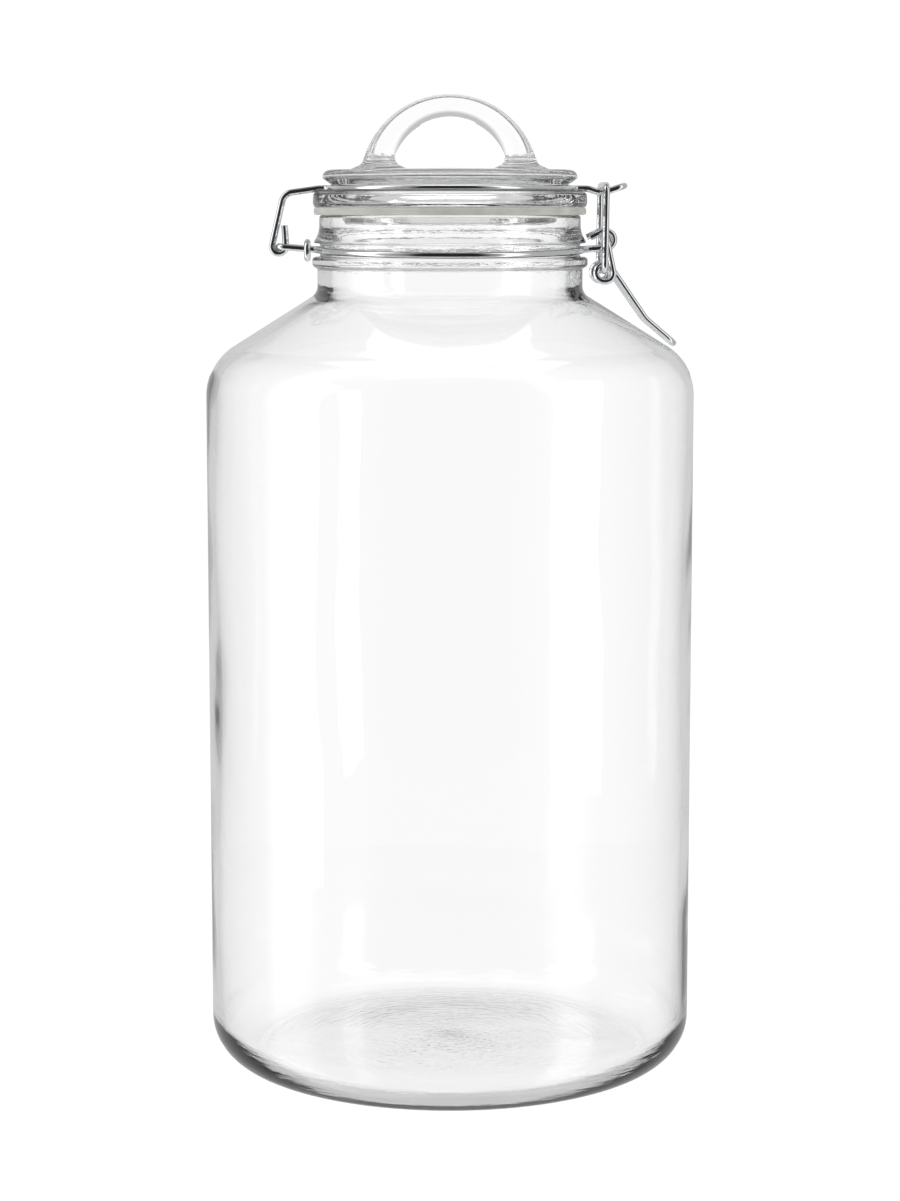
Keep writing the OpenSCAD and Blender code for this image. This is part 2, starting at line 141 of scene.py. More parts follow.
direction = add_node(studio_tree, "TexCoord")
height = add_node(studio_tree, "SeparateXYZ")
studio_tree.links.new(direction.outputs["Generated"], height.inputs[0])
steepness = add_node(studio_tree, "MapRange", {"From Min": -1.0})
studio_tree.links.new(height.outputs["Z"], steepness.inputs["Value"])
facing = add_node(studio_tree, "Mapping", {"Rotation": (0, 0, math.pi / 2)})
studio_tree.links.new(direction.outputs["Generated"], facing.inputs["Vector"])
around = add_node(studio_tree, "TexGradient", gradient_type="RADIAL")
studio_tree.links.new(facing.outputs["Vector"], around.inputs["Vector"])
ray = add_node(studio_tree, "LightPath")

# The room goes round from behind the jar, at 0, by its left side, its front and its right side.
tone_by_side = ramp_through(studio_tree, [(place, grey(tone)) for place, tone in (
    (0.0, 0.30), (0.10, 0.28), (0.17, 0.20), (0.215, 0.24), (0.25, 0.92), (0.28, 0.92), (0.325, 0.24),
    (0.37, 0.16), (0.42, 0.01), (0.56, 0.01), (0.61, 0.16), (0.64, 0.66), (0.66, 0.66), (0.70, 0.22),
    (0.83, 0.22), (0.90, 0.28), (1.0, 0.30))], "EASE")
studio_tree.links.new(around.outputs["Fac"], tone_by_side.inputs["Fac"])
up_or_down = by_height([(0.0, 1.0), (0.06, 1.0), (0.13, 0.0), (0.93, 0.0), (0.98, 1.0), (1.0, 1.0)])
floor_or_ceiling = by_height([
    (0.0, FLOOR_TONE), (0.2, FLOOR_TONE), (0.8, CEILING_TONE), (1.0, CEILING_TONE)])
room_tone = mixed(up_or_down, tone_by_side.outputs["Color"], floor_or_ceiling)
tone_in_glass = by_height([
    (0.0, GLASS_TONE), (0.88, GLASS_TONE), (0.94, GLASS_CEILING_TONE), (1.0, GLASS_CEILING_TONE)])
inside = at_most(ray.outputs["Transmission Depth"], 0.95)
mirrored_tone = mixed(inside, room_tone, tone_in_glass)
room = add_node(studio_tree, "Background", {"Strength": ROOM_STRENGTH})
studio_tree.links.new(mirrored_tone, room.inputs["Color"])
overhead = by_height([(0.0, 1.0), (0.60, 1.0), (0.75, OVERHEAD_TONE), (1.0, OVERHEAD_TONE)])
backdrop = add_node(studio_tree, "Background", {"Strength": BACKDROP_STRENGTH})
studio_tree.links.new(overhead, backdrop.inputs["Color"])
mirrored = at_most(ray.outputs["Glossy Depth"], 1.0)
seen = add_node(studio_tree, "MixShader")
studio_tree.links.new(mirrored, seen.inputs["Fac"])
studio_tree.links.new(backdrop.outputs[0], seen.inputs[1])
studio_tree.links.new(room.outputs[0], seen.inputs[2])
world_out = add_node(studio_tree, "OutputWorld")
studio_tree.links.new(seen.outputs[0], world_out.inputs["Surface"])


def soft_lamp(name, width, height, watts, place, target):
    """A flat lamp that lights the table and the rubber, and isn't seen itself."""
    lamp = bpy.data.lights.new(name, "AREA")
    lamp.shape = "RECTANGLE"
    lamp.size = width
    lamp.size_y = height
    lamp.energy = watts
    stand = bpy.data.objects.new(name, lamp)
    bpy.context.collection.objects.link(stand)
    stand.location = place
    stand.rotation_euler = (Vector(target) - Vector(place)).to_track_quat("-Z", "Y").to_euler()
    stand.visible_camera = False
    stand.visible_glossy = False


soft_lamp("top_lamp", 2.0, 2.0, 14, (0, 0.1, 2.2), (0, 0, 0))
soft_lamp("left_strip", 0.65, 1.9, 12, (-1.56, -0.36, 0.5), (0, 0, 0.2))
soft_lamp("right_strip", 0.36, 1.9, 5.5, (1.26, -0.99, 0.5), (0, 0, 0.2))

view = bpy.data.cameras.new("camera")
view.lens = CAMERA_LENS
view.clip_end = 50
camera = bpy.data.objects.new("camera", view)
bpy.context.collection.objects.link(camera)
camera.location = (
    -CAMERA_DISTANCE * math.sin(CAMERA_TURN), -CAMERA_DISTANCE * math.cos(CAMERA_TURN), CAMERA_HEIGHT)
camera.rotation_euler = (math.pi / 2 - CAMERA_TILT, 0, -CAMERA_TURN)
bpy.context.scene.camera = camera
bpy.context.scene.view_settings.view_transform = "Standard"

# ---- Jar ----------------------------------------------------------------------------------------
# A blown and pressed body of clear soda glass: standing ring, straight wall, sloping shoulder, and a moulded
# neck with a bead, a groove for the wire and a flange. The inside is a little uneven. Clear glass throws
# almost no shadow, so it lets the lamps' light through.
MM = 0.001
BODY_R = 85.0
WALL = 3.2
FLOOR_T = 7.5
BASE_EDGE_R = 16.0
FOOT_R = 66.0
PUSH_UP = 2.5
HEEL_DROP = 1.2
SHOULDER_R = 20.0
SHOULDER_ANGLE = math.radians(32.0)
SHOULDER_SLOPE = math.tan(SHOULDER_ANGLE)
JAR_H = 298.6
SHOULDER_Z = JAR_H - 51.2
NECK_R = 46.1
NECK_CORNER_R = 9.0
MOUTH_R = 41.5
BEAD_R = 47.85
BEAD_H = 3.8
GROOVE_R = 45.2
GROOVE_H = 4.7
FLANGE_R = 47.6
FLANGE_H = 9.7
FLANGE_SLOPE_H = 3.6
FLANGE_Z = JAR_H - FLANGE_H
GROOVE_Z = FLANGE_Z - GROOVE_H
BEAD_Z = GROOVE_Z - BEAD_H
RIM_R = 45.4
RIM_EDGE_R = 1.2
UNEVENNESS = 0.16


def shoulder_at(r):
    """The shoulder's height at this radius, outside."""
    return SHOULDER_Z + (BODY_R - r) * SHOULDER_SLOPE


def shoulder_inside_at(r):
    """The shoulder's height at this radius, inside."""
    return shoulder_at(r) - WALL / math.cos(SHOULDER_ANGLE)


def rounded(corners):
    """The outline through corners (r, z, radius), with each corner rounded."""
    points = []
    for i, (r, z, radius) in enumerate(corners):
        b = Vector((r, z))
        if radius == 0 or i in (0, len(corners) - 1):
            points.append(b)
            continue
        u = (Vector(corners[i - 1][:2]) - b).normalized()
        v = (Vector(corners[i + 1][:2]) - b).normalized()
        turn = math.pi - u.angle(v)
        middle = b + (u + v).normalized() * radius / math.cos(turn / 2)
        start = b + u * radius * math.tan(turn / 2) - middle
        side = 1 if v.x * u.y - v.y * u.x > 0 else -1
        steps = max(2, math.ceil(math.degrees(turn) / 5))
        for k in range(steps + 1):
            a = side * turn * k / steps
            points.append(middle + Vector((start.x * math.cos(a) - start.y * math.sin(a),
                                           start.x * math.sin(a) + start.y * math.cos(a))))
    return points


def divided(points, longest):
    """The same outline, with no side longer than this."""
    out = [points[0]]
    for a, b in zip(points, points[1:]):
        parts = max(1, math.ceil((b - a).length / longest))
        out += [a.lerp(b, k / parts) for k in range(1, parts + 1)]
    return out


def turned(name, outline, segments, shift=None):
    """A solid of revolution from an outline that starts and ends on the axis, or a closed ring of one."""
    mesh = bmesh.new()
    closed = outline[0].x > 1e-6
    rings = []
    for p in outline:
        if p.x < 1e-6:
            rings.append([mesh.verts.new((0, 0, p.y * MM))])
            continue
        ring = []
        for k in range(segments):
            a = 2 * math.pi * k / segments
            r = p.x + (shift(p, a) if shift else 0)
            ring.append(mesh.verts.new((r * math.cos(a) * MM, r * math.sin(a) * MM, p.y * MM)))
        rings.append(ring)
    pairs = list(zip(rings, rings[1:])) + ([(rings[-1], rings[0])] if closed else [])
    for low, high in pairs:
        for k in range(segments):
            n = (k + 1) % segments
            if len(low) == 1:
                mesh.faces.new((low[0], high[n], high[k]))
            elif len(high) == 1:
                mesh.faces.new((low[k], low[n], high[0]))
            else:
                mesh.faces.new((low[k], low[n], high[n], high[k]))
    bmesh.ops.recalc_face_normals(mesh, faces=mesh.faces)
    for face in mesh.faces:
        face.smooth = True
    data = bpy.data.meshes.new(name)
    mesh.to_mesh(data)
    mesh.free()
    piece = bpy.data.objects.new(name, data)
    bpy.context.collection.objects.link(piece)
    return piece


def clear_glass(name, density, wave_scale, wave_height, streak_zones):
    """Clear soda glass: slow waves from the mould, fine streaks round it where it was pressed or turned,
    faint handling marks, and a grey body tint with depth. Zones are (height, weight of the streaks)."""
    glass, tree, skin = new_material(name, {
        "Transmission Weight": 1.0, "IOR": 1.5, "Base Color": grey(1.0)})
    link = tree.links.new
    place = add_node(tree, "TexCoord").outputs["Object"]
    waves = add_node(tree, "TexNoise", {"Scale": wave_scale, "Detail": 1.5})
    link(place, waves.inputs["Vector"])
    bump = add_node(tree, "Bump", {"Strength": 1.0, "Distance": wave_height})
    link(waves.outputs["Fac"], bump.inputs["Height"])

    parts = add_node(tree, "SeparateXYZ")
    link(place, parts.inputs[0])
    level = add_node(tree, "VectorMath", {1: (1, 1, 0)}, operation="MULTIPLY")
    link(place, level.inputs[0])
    radius = add_node(tree, "VectorMath", operation="LENGTH")
    link(level.outputs["Vector"], radius.inputs[0])
    side = add_node(tree, "TexGradient", gradient_type="RADIAL")
    link(place, side.inputs["Vector"])
    slow = add_node(tree, "Math", {1: 0.06}, operation="MULTIPLY")
    link(side.outputs["Fac"], slow.inputs[0])
    round_it = add_node(tree, "CombineXYZ")
    link(radius.outputs["Value"], round_it.inputs["X"])
    link(parts.outputs["Z"], round_it.inputs["Y"])
    link(slow.outputs[0], round_it.inputs["Z"])
    streaks = add_node(tree, "TexNoise", {"Scale": 700.0, "Detail": 3.0})
    link(round_it.outputs["Vector"], streaks.inputs["Vector"])
    zone = ramp_through(tree, [(z, grey(weight)) for z, weight in streak_zones])
    link(parts.outputs["Z"], zone.inputs["Fac"])
    weighed = add_node(tree, "Math", operation="MULTIPLY")
    link(streaks.outputs["Fac"], weighed.inputs[0])
    link(zone.outputs["Color"], weighed.inputs[1])
    fine = add_node(tree, "Bump", {"Strength": 1.0, "Distance": 0.0001})
    link(weighed.outputs[0], fine.inputs["Height"])
    link(fine.outputs["Normal"], bump.inputs["Normal"])
    link(bump.outputs["Normal"], skin.inputs["Normal"])

    marks = add_node(tree, "TexNoise", {"Scale": 60.0, "Detail": 6.0})
    link(place, marks.inputs["Vector"])
    haze = add_node(tree, "MapRange", {"From Min": 0.55, "From Max": 0.8, "To Min": 0.0, "To Max": 0.04})
    link(marks.outputs["Fac"], haze.inputs["Value"])
    link(haze.outputs["Result"], skin.inputs["Roughness"])
    tint = add_node(tree, "VolumeAbsorption", {"Color": (0.0, 0.05, 0.04, 1), "Density": density})
    link(tint.outputs[0], tree.nodes["Material Output"].inputs["Volume"])
    return glass


def wall_unevenness(p, a):
    """Blown glass gathers thicker and thinner: the wall's inside and the shoulder wander by a tenth or two
    of a millimetre."""
    if p.x < 20 or p.x > BODY_R - 1.5 or p.y < FLOOR_T - 0.1 or p.y > BEAD_Z - 12:
        return 0.0
    return UNEVENNESS * (
        math.sin(3 * a + p.y / 31) * math.cos(p.y / 47 + 1.3) + 0.5 * math.sin(7 * a - p.y / 23))


def dome_drop(r):
    """How far both faces of the floor lie below their middle at this radius."""
    return PUSH_UP * (r / FOOT_R) ** 2


DOME_STEPS = [6.0 * k for k in range(1, 10)]
jar_outline = rounded([
    (0, PUSH_UP, 0), *[(r, PUSH_UP - dome_drop(r), 0) for r in DOME_STEPS], (FOOT_R, 0, 10),
    (BODY_R, 0, BASE_EDGE_R), (BODY_R, SHOULDER_Z, SHOULDER_R), (NECK_R, shoulder_at(NECK_R), 4.5),
    (NECK_R, BEAD_Z, 0.6), (BEAD_R, BEAD_Z, 1.6), (BEAD_R, GROOVE_Z, 1.2), (GROOVE_R, GROOVE_Z, 0.6),
    (GROOVE_R, FLANGE_Z, 0.6), (FLANGE_R, FLANGE_Z, 0.5), (RIM_R, FLANGE_Z + FLANGE_SLOPE_H, 9),
    (RIM_R, JAR_H, RIM_EDGE_R),
    (MOUTH_R, JAR_H, RIM_EDGE_R), (MOUTH_R, shoulder_inside_at(MOUTH_R), NECK_CORNER_R),
    (BODY_R - WALL, shoulder_inside_at(BODY_R - WALL), SHOULDER_R - WALL),
    (BODY_R - WALL, FLOOR_T - dome_drop(FOOT_R) - HEEL_DROP, BASE_EDGE_R - WALL),
    *[(r, FLOOR_T - dome_drop(r), 0) for r in reversed(DOME_STEPS)], (0, FLOOR_T, 0)])
jar = turned("jar_body_glass", divided(jar_outline, 6.0), 256, wall_unevenness)
jar.data.materials.append(clear_glass("jar_glass", 3.0, 18.0, 0.0006, [
    (0.0, 0.5), (0.014, 0.5), (0.03, 0.0), (0.262, 0.0), (0.28, 0.45), (0.3, 0.45)]))
jar.visible_shadow = False
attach(jar, "jar_body")
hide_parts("jar")

# ---- Neck wire ----------------------------------------------------------------------------------
# One length of bright drawn steel wire: it lies in the neck's groove, makes the hinge loop at the back
# and ends in two eyes at the front. Every wire of the closure is bent from the same wire.
WIRE_D = 2.2
WIRE_R = WIRE_D / 2
WIRE_GAP = 0.2
TIGHT_R = 1.3 + WIRE_R
BESIDE = WIRE_D + WIRE_GAP
SNUG = 0.1
NECK_WIRE_R = GROOVE_R + WIRE_GAP + WIRE_R
NECK_WIRE_DIP = math.radians(1.85)
NECK_WIRE_Z = GROOVE_Z + WIRE_GAP / 2 + WIRE_R + NECK_WIRE_R * math.sin(NECK_WIRE_DIP)
HINGE_X = -NECK_WIRE_R - 12.8
HINGE_Z = NECK_WIRE_Z + 0.9
HINGE_LOOP_Y = 8.0
EYE_Y = 7.0
EYE_IN_R = 1.85
EYE_R = EYE_IN_R + WIRE_R
EYE_X = NECK_WIRE_R + 7.1
EYE_RISE = 3.25
EYE_Z = NECK_WIRE_Z + EYE_RISE
PIVOT_Z = EYE_Z + (EYE_IN_R - WIRE_R) - WIRE_GAP / 2
ARC_TURN = 56.0
EASY_BEND_R = 6.0
WIRE_SIDES = 20


def arc_xz(x, z, r, a0, a1, y0, y1):
    """Corners of an arc round (x, z) from angle a0 to a1 in degrees, moving sideways from y0 to y1."""
    n = math.ceil(abs(a1 - a0) / ARC_TURN)
    step = math.radians(a1 - a0) / n
    reach = r / math.cos(step / 2)
    return [(x + reach * math.cos(a), y0 + (y1 - y0) * (i + 0.5) / n, z + reach * math.sin(a),
             r - SNUG / math.tan(abs(step) / 2))
            for i in range(n) for a in [math.radians(a0) + (i + 0.5) * step]]


def arc_xy(r, z, a0, a1, dip):
    """Corners of the near half of a ring round the jar's axis, from angle a0 to a1 in radians."""
    n = 4
    step = (a1 - a0) / n
    reach = r / math.cos(step / 2)
    return [(reach * math.cos(a), reach * math.sin(a) * math.cos(dip),
             z + reach * math.sin(a) * math.sin(dip), r - SNUG / math.tan(abs(step) / 2))
            for i in range(n) for a in [a0 + (i + 0.5) * step]]


def leg_angle(r, y):
    """Where round a ring of radius r its wire turns off into a straight leg at this y."""
    return math.asin((y + TIGHT_R + SNUG) / (r + TIGHT_R))


def leg_x(r, y):
    """How far out the corner between that ring and its leg lies."""
    return (r - y * math.sin(leg_angle(r, y))) / math.cos(leg_angle(r, y))


def both_halves(half):
    """A wire's corners on the near side, and the same mirrored on the far side."""
    return half + [(x, -y, z, r) for x, y, z, r in reversed(half)]


def bent_path(corners, closed=False):
    """Points of a wire's middle line, with each corner bent to its radius."""
    points = []
    n = len(corners)
    for i, corner in enumerate(corners):
        b, radius = Vector(corner[:3]), corner[3]
        if not closed and i in (0, n - 1):
            points.append(b)
            continue
        ahead = (b - Vector(corners[i - 1][:3])).normalized()
        onward = (Vector(corners[(i + 1) % n][:3]) - b).normalized()
        turn = ahead.angle(onward)
        radius = radius or EASY_BEND_R
        middle = b + (onward - ahead).normalized() * radius / math.cos(turn / 2)
        out = (b - ahead * radius * math.tan(turn / 2) - middle).normalized()
        steps = max(2, math.ceil(math.degrees(turn) / (3 if radius > 10 else 8)))
        points += [middle + radius * (math.cos(turn * k / steps) * out + math.sin(turn * k / steps) * ahead)
                   for k in range(steps + 1)]
    return points


def wire_tree():
    """Geometry nodes that draw a round wire along a bent path."""
    nodes_tree = bpy.data.node_groups.new("draw_wire", "GeometryNodeTree")
    face = nodes_tree.interface
    face.new_socket("Geometry", in_out="INPUT", socket_type="NodeSocketGeometry")
    face.new_socket("Wire radius", in_out="INPUT", socket_type="NodeSocketFloat")
    face.new_socket("Sides", in_out="INPUT", socket_type="NodeSocketInt")
    face.new_socket("Wire", in_out="INPUT", socket_type="NodeSocketMaterial")
    face.new_socket("Geometry", in_out="OUTPUT", socket_type="NodeSocketGeometry")
    nodes, links = nodes_tree.nodes, nodes_tree.links
    given = nodes.new("NodeGroupInput")
    path = nodes.new("GeometryNodeMeshToCurve")
    swell = nodes.new("GeometryNodeInputNamedAttribute")
    swell.data_type = "FLOAT"
    swell.inputs["Name"].default_value = "swell"
    radius = nodes.new("GeometryNodeSetCurveRadius")
    ring = nodes.new("GeometryNodeCurvePrimitiveCircle")
    skin = nodes.new("GeometryNodeCurveToMesh")
    skin.inputs["Fill Caps"].default_value = True
    smooth = nodes.new("GeometryNodeSetShadeSmooth")
    real = nodes.new("GeometryNodeRealizeInstances")
    finish = nodes.new("GeometryNodeSetMaterial")
    made = nodes.new("NodeGroupOutput")
    links.new(given.outputs["Geometry"], path.inputs["Mesh"])
    links.new(path.outputs["Curve"], radius.inputs["Curve"])
    links.new(swell.outputs["Attribute"], radius.inputs["Radius"])
    links.new(given.outputs["Wire radius"], ring.inputs["Radius"])
    links.new(given.outputs["Sides"], ring.inputs["Resolution"])
    links.new(radius.outputs["Curve"], skin.inputs["Curve"])
    links.new(ring.outputs["Curve"], skin.inputs["Profile Curve"])
    links.new(skin.outputs["Mesh"], smooth.inputs["Geometry"])
    links.new(smooth.outputs["Geometry"], real.inputs["Geometry"])
    links.new(real.outputs["Geometry"], finish.inputs["Geometry"])
    links.new(given.outputs["Wire"], finish.inputs["Material"])
    links.new(finish.outputs["Geometry"], made.inputs["Geometry"])
    return nodes_tree


def bright_wire():
    """Bright drawn steel wire: a slow change of shine, and small dull spots that stand up a little."""
    steel, tree, skin = new_material("bright_wire", {"Metallic": 1.0})
    link = tree.links.new
    place = add_node(tree, "TexCoord").outputs["Object"]
    spots = add_node(tree, "TexNoise", {"Scale": 900.0, "Detail": 5.0})
    link(place, spots.inputs["Vector"])
    shade = ramp_through(tree, [(0.3, (0.80, 0.81, 0.83, 1)), (0.7, (0.90, 0.91, 0.92, 1))])
    link(spots.outputs["Fac"], shade.inputs["Fac"])
    link(shade.outputs["Color"], skin.inputs["Base Color"])
    shine = add_node(tree, "TexNoise", {"Scale": 160.0})
    link(place, shine.inputs["Vector"])
    dull = add_node(tree, "MapRange", {"To Min": 0.03, "To Max": 0.09})
    link(shine.outputs["Fac"], dull.inputs["Value"])
    link(dull.outputs["Result"], skin.inputs["Roughness"])
    bump = add_node(tree, "Bump", {"Strength": 0.08, "Distance": 0.00003})
    link(spots.outputs["Fac"], bump.inputs["Height"])
    link(bump.outputs["Normal"], skin.inputs["Normal"])
    return steel


def drawn_wire(name, corners, closed=False):
    """A wire along corners (x, y, z, bend radius) in millimetres, with its cut ends rounded over."""
    points = bent_path(corners, closed)
    swells = [1.0] * len(points)
    if not closed:
        for end, step in ((0, 1), (-1, -1)):
            tip, along = points[end], (points[end + step] - points[end]).normalized()
            cut = [(tip + along * d, s) for d, s in ((0, 0.72), (0.08, 0.88), (0.25, 0.98), (0.5, 1.0))]
            cut_points, cut_swells = [c[0] for c in cut], [c[1] for c in cut]
            if end == 0:
                points, swells = cut_points + points[1:], cut_swells + swells[1:]
            else:
                points, swells = points[:-1] + cut_points[::-1], swells[:-1] + cut_swells[::-1]
    n = len(points)
    edges = [(i, (i + 1) % n) for i in range(n if closed else n - 1)]
    data = bpy.data.meshes.new(name)
    data.from_pydata([p * MM for p in points], edges, [])
    data.attributes.new("swell", "FLOAT", "POINT").data.foreach_set("value", swells)
    line = bpy.data.objects.new(name + "_line", data)
    bpy.context.collection.objects.link(line)
    modifier = line.modifiers.new("draw", "NODES")
    modifier.node_group = WIRE_TREE
    for item in WIRE_TREE.interface.items_tree:
        if item.name == "Wire radius":
            modifier[item.identifier] = WIRE_R * MM
        elif item.name == "Sides":
            modifier[item.identifier] = WIRE_SIDES
        elif item.name == "Wire":
            modifier[item.identifier] = WIRE_STEEL
    graph = bpy.context.evaluated_depsgraph_get()
    mesh = bpy.data.meshes.new_from_object(line.evaluated_get(graph))
    mesh.name = name
    bpy.data.objects.remove(line)
    piece = bpy.data.objects.new(name, mesh)
    bpy.context.collection.objects.link(piece)
    return piece


WIRE_TREE = wire_tree()
WIRE_STEEL = bright_wire()
LEG_END_X = -leg_x(NECK_WIRE_R, HINGE_LOOP_Y)
LEG_END_Z = NECK_WIRE_Z - HINGE_LOOP_Y * math.sin(NECK_WIRE_DIP)
neck_half = (
    [(EYE_X - EYE_R - 2.4, -EYE_Y, EYE_Z + 0.7, 0)]
    + arc_xz(EYE_X, EYE_Z, EYE_R, 115, -85, -EYE_Y, -EYE_Y)
    + [(leg_x(NECK_WIRE_R, EYE_Y), -EYE_Y, NECK_WIRE_Z - EYE_Y * math.sin(NECK_WIRE_DIP), TIGHT_R)]
    + arc_xy(NECK_WIRE_R, NECK_WIRE_Z, -leg_angle(NECK_WIRE_R, EYE_Y),
             leg_angle(NECK_WIRE_R, HINGE_LOOP_Y) - math.pi, NECK_WIRE_DIP)
    + [(LEG_END_X, -HINGE_LOOP_Y, LEG_END_Z, TIGHT_R), (HINGE_X, -HINGE_LOOP_Y, HINGE_Z, TIGHT_R)])
neck_wire = drawn_wire("neck_wire", both_halves(neck_half))
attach(neck_wire, "jar_body")
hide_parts("neck_ring")

# ---- Hinge keeper -------------------------------------------------------------------------------
# A small closed ring of the same wire, butt-welded, that hangs on the hinge loop's two legs and keeps
# them together.
KEEPER_H = 7.7
KEEPER_X = 9.8
keeper_at = HINGE_X + KEEPER_X
leg_slope = (LEG_END_Z - HINGE_Z) / (LEG_END_X - HINGE_X)
keeper_top = HINGE_Z + leg_slope * KEEPER_X + WIRE_D + WIRE_GAP / 2
keeper_low = keeper_top - KEEPER_H + WIRE_D
keeper_y = HINGE_LOOP_Y + BESIDE
keeper_r = (keeper_top - keeper_low) / 2 - SNUG
keeper = drawn_wire("hinge_keeper_ring", [
    (keeper_at, -keeper_y, keeper_top, keeper_r), (keeper_at, keeper_y, keeper_top, keeper_r),
    (keeper_at, keeper_y, keeper_low, keeper_r), (keeper_at, -keeper_y, keeper_low, keeper_r)], closed=True)
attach(keeper, "keeper")
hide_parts("hinge_keeper")

# ---- Lid and its handle -------------------------------------------------------------------------
# Pressed glass: a plug under it, a skirt that presses the rubber, a groove for the lid wire and a domed
# top. The bow handle is drawn from the same glass and fused to two feet, so lid and bow are one piece.
GASKET_T = 2.6
SEAT_Z = JAR_H + GASKET_T
SKIRT_R = 47.4
SKIRT_Z = SEAT_Z + 5.2
LID_GROOVE_R = 41.0
LID_GROOVE_H = WIRE_D + 1.5 * WIRE_GAP
PLATE_Z = SKIRT_Z + LID_GROOVE_H
UNDERCUT = 2.2
TOP_R = 44.2
TOP_Z = PLATE_Z + 5.1
CROWN_H = 0.8
PLUG_R = MOUTH_R - 2.2
PLUG_END_R = PLUG_R - 2.8
PLUG_Z = SEAT_Z - 6.2
PLUG_W = 5.0
HOLLOW_Z = TOP_Z - 8.6
HANDLE_TOP = TOP_Z + 26
BOW_R = 31.2
BOW_T = 8.1
BOW_GAP_R = 20.5
SEAM_Z = TOP_Z + 4.5
BOW_Z = HANDLE_TOP - BOW_R
BOW_GAP_Z = HANDLE_TOP - BOW_T - BOW_GAP_R
BOW_EYE_Z = (BOW_Z + BOW_GAP_Z) / 2
BOW_START = math.radians(8)
BOW_RINGS = 56
BOW_SIDES = 32
BOW_OUT_X = math.sqrt(BOW_R ** 2 - (SEAM_Z - BOW_Z) ** 2)
BOW_IN_X = math.sqrt(BOW_GAP_R ** 2 - (SEAM_Z - BOW_GAP_Z) ** 2)
BOW_FOOT_R = (BOW_OUT_X - BOW_IN_X) / 2
BOW_FOOT_X = BOW_IN_X + BOW_FOOT_R
BOW_FOOT_SPREAD = 6.0

lid = turned("lid_glass_body", divided(rounded([
    (0, HOLLOW_Z, 0), (PLUG_END_R - PLUG_W - 2, HOLLOW_Z, 5), (PLUG_END_R - PLUG_W, PLUG_Z, 1.5),
    (PLUG_END_R, PLUG_Z, 1.8),
    (PLUG_R, SEAT_Z, 0.6), (SKIRT_R - 0.4, SEAT_Z, 0.6), (SKIRT_R + 0.2, SEAT_Z + 1.4, 1.2),
    (SKIRT_R, SKIRT_Z, 1.2), (LID_GROOVE_R, SKIRT_Z, 0.6), (LID_GROOVE_R, PLATE_Z, 0.6),
    (TOP_R, PLATE_Z + UNDERCUT, 1.4), (TOP_R, TOP_Z, 2.6), (0, TOP_Z + CROWN_H, 0)]), 5.0), 160)


def bow_reach(a, z, r):
    """How far a circle of radius r round height z is from the bow's eye, in direction a."""
    return (z - BOW_EYE_Z) * math.sin(a) + math.sqrt(r ** 2 - ((z - BOW_EYE_Z) * math.cos(a)) ** 2)


bow = bmesh.new()
bow_rings = []
for i in range(BOW_RINGS + 1):
    a = BOW_START + (math.pi - 2 * BOW_START) * i / BOW_RINGS
    outer, inner = bow_reach(a, BOW_Z, BOW_R), bow_reach(a, BOW_GAP_Z, BOW_GAP_R)
    middle, half = (outer + inner) / 2, (outer - inner) / 2
    ring = []
    for k in range(BOW_SIDES):
        t = 2 * math.pi * k / BOW_SIDES
        d = middle + half * math.cos(t)
        ring.append(bow.verts.new(
            (d * math.cos(a) * MM, half * math.sin(t) * MM, (BOW_EYE_Z + d * math.sin(a)) * MM)))
    bow_rings.append(ring)
for one, two in zip(bow_rings, bow_rings[1:]):
    for k in range(BOW_SIDES):
        n = (k + 1) % BOW_SIDES
        bow.faces.new((one[k], one[n], two[n], two[k]))
bow.faces.new(bow_rings[0])
bow.faces.new(bow_rings[-1][::-1])
bmesh.ops.recalc_face_normals(bow, faces=bow.faces)
bow_data = bpy.data.meshes.new("bow")
bow.to_mesh(bow_data)
bow.free()
bow_piece = bpy.data.objects.new("bow", bow_data)
bpy.context.collection.objects.link(bow_piece)

parts = [bow_piece]
for side in (-1, 1):
    foot = turned("foot", rounded([
        (0, PLATE_Z + 1, 0), (BOW_FOOT_R + BOW_FOOT_SPREAD, PLATE_Z + 1, 0),
        (BOW_FOOT_R + BOW_FOOT_SPREAD, TOP_Z - 0.2, 0), (BOW_FOOT_R + 0.6, SEAM_Z - 2.3, 3),
        (BOW_FOOT_R + 0.2, SEAM_Z, 0), (0, SEAM_Z, 0)]), 64)
    for vertex in foot.data.vertices:
        vertex.co.x += side * BOW_FOOT_X * MM
    parts.append(foot)
for part in parts:
    fuse = lid.modifiers.new("fuse", "BOOLEAN")
    fuse.operation = "UNION"
    fuse.solver = "EXACT"
    fuse.object = part
graph = bpy.context.evaluated_depsgraph_get()
lid_mesh = bpy.data.meshes.new_from_object(lid.evaluated_get(graph))
for part in parts + [lid]:
    bpy.data.objects.remove(part)
lid_mesh.name = "lid_glass_body"
lid = bpy.data.objects.new("lid_glass_body", lid_mesh)
bpy.context.collection.objects.link(lid)
for face in lid_mesh.polygons:
    face.use_smooth = True
lid_mesh.materials.clear()
lid_mesh.materials.append(clear_glass("lid_glass", 2.0, 60.0, 0.0001, [
    (0.0, 0.25), (0.312, 0.25), (0.318, 0.0)]))
lid.visible_shadow = False
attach(lid, "lid_body")
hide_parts("lid", "lid_handle")

# ---- Rubber ring --------------------------------------------------------------------------------
# A flat ring of pale natural rubber, moulded and punched, squeezed between the rim and the lid.
GASKET_R = 47.2
GASKET_IN_R = PLUG_R + WIRE_GAP
GASKET_MIDDLE_Z = (JAR_H + SEAT_Z) / 2


